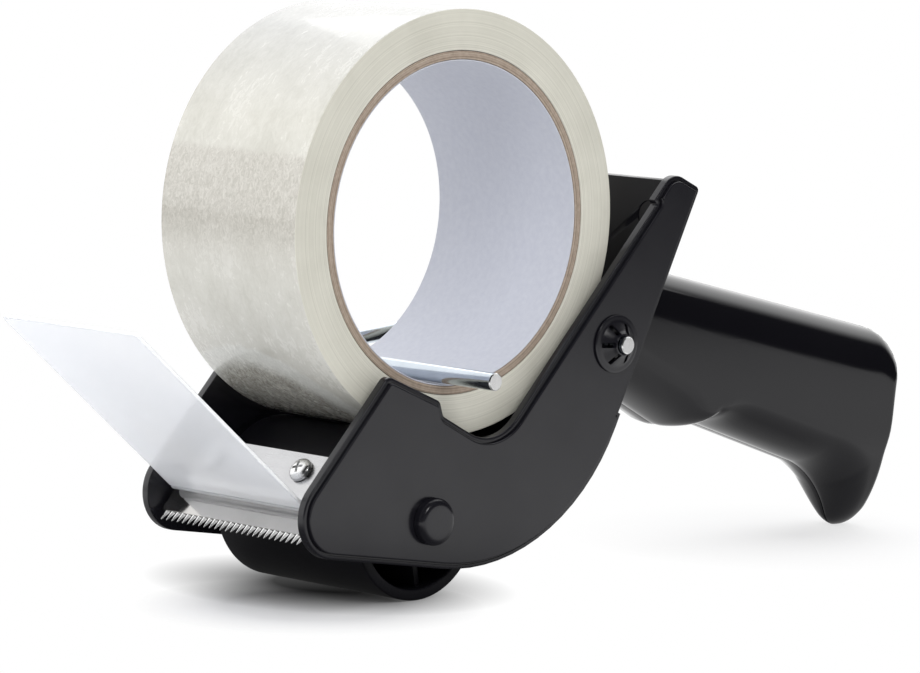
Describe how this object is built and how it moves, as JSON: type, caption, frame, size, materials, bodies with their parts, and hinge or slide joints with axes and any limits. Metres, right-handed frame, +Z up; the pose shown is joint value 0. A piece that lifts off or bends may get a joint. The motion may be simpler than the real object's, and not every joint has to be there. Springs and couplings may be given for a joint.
{
  "type": "tape dispenser",
  "caption": "Hand-held packing-tape dispenser with a drum roller, a toothed cutter with a clear flap, a pivoting wire arm in the roll's core and a moulded grip.",
  "frame": {"origin": "centre of the whole part's box, on the surface that the roller and the grip's tip stand on", "axes": "+X from the cutter towards the grip, +Y across the tape towards the side with the wire's link, +Z up"},
  "size_m": [0.266, 0.0764, 0.1384],
  "materials": {
    "body": "satin-gloss black moulding",
    "roller": "black moulding, semi-matt",
    "steel": "polished strip steel",
    "zinc": "bluish bright zinc plate",
    "clear_sheet": "clear, slightly milky sheet",
    "tape": "wound clear tape, milky and glossy",
    "card": "brown wound card, matt",
    "paper": "white paper, matt"
  },
  "bodies": {
    "body": {"body_near": "body", "body_far": "body", "grip_screw_1": "zinc", "grip_screw_2": "zinc", "grip_screw_3": "zinc", "heel_screw": "zinc", "blade": "steel", "clamp_plate": "steel", "flap_flange": "clear_sheet", "blade_screw_near": "steel", "blade_screw_far": "steel", "roller_axle": "roller", "axle_cap": "roller"},
    "roller": {"roller_drum": "roller"},
    "roll": {"wound_tape": "tape", "card_core": "card", "core_liner": "paper"},
    "arm": {"wire_arm": "zinc", "star_retainer": "roller"},
    "flap": {"tape_flap": "clear_sheet"}
  },
  "joints": [
    {"name": "roll_spin", "type": "hinge", "parent": "body", "child": "roll", "pos_m": [-0.03606, 0.00375, 0.08819], "axis": [0, 1, 0], "continuous": true},
    {"name": "roller_spin", "type": "hinge", "parent": "body", "child": "roller", "pos_m": [-0.0482, 0.00375, 0.01935], "axis": [0, 1, 0], "continuous": true},
    {"name": "arm_swing", "type": "hinge", "parent": "body", "child": "arm", "pos_m": [0.01082, 0.00375, 0.05728], "axis": [0, 1, 0], "range_deg": [0, 74]},
    {"name": "flap_flex", "type": "hinge", "parent": "body", "child": "flap", "pos_m": [-0.08237, 0.00375, 0.02499], "axis": [0, 1, 0], "range_deg": [-20, 30], "stiffness_Nm_per_rad": 0.15}
  ],
  "couplings": [
    {"joint": "roller_spin", "follows": "roll_spin", "ratio": -2.5969}
  ]
}
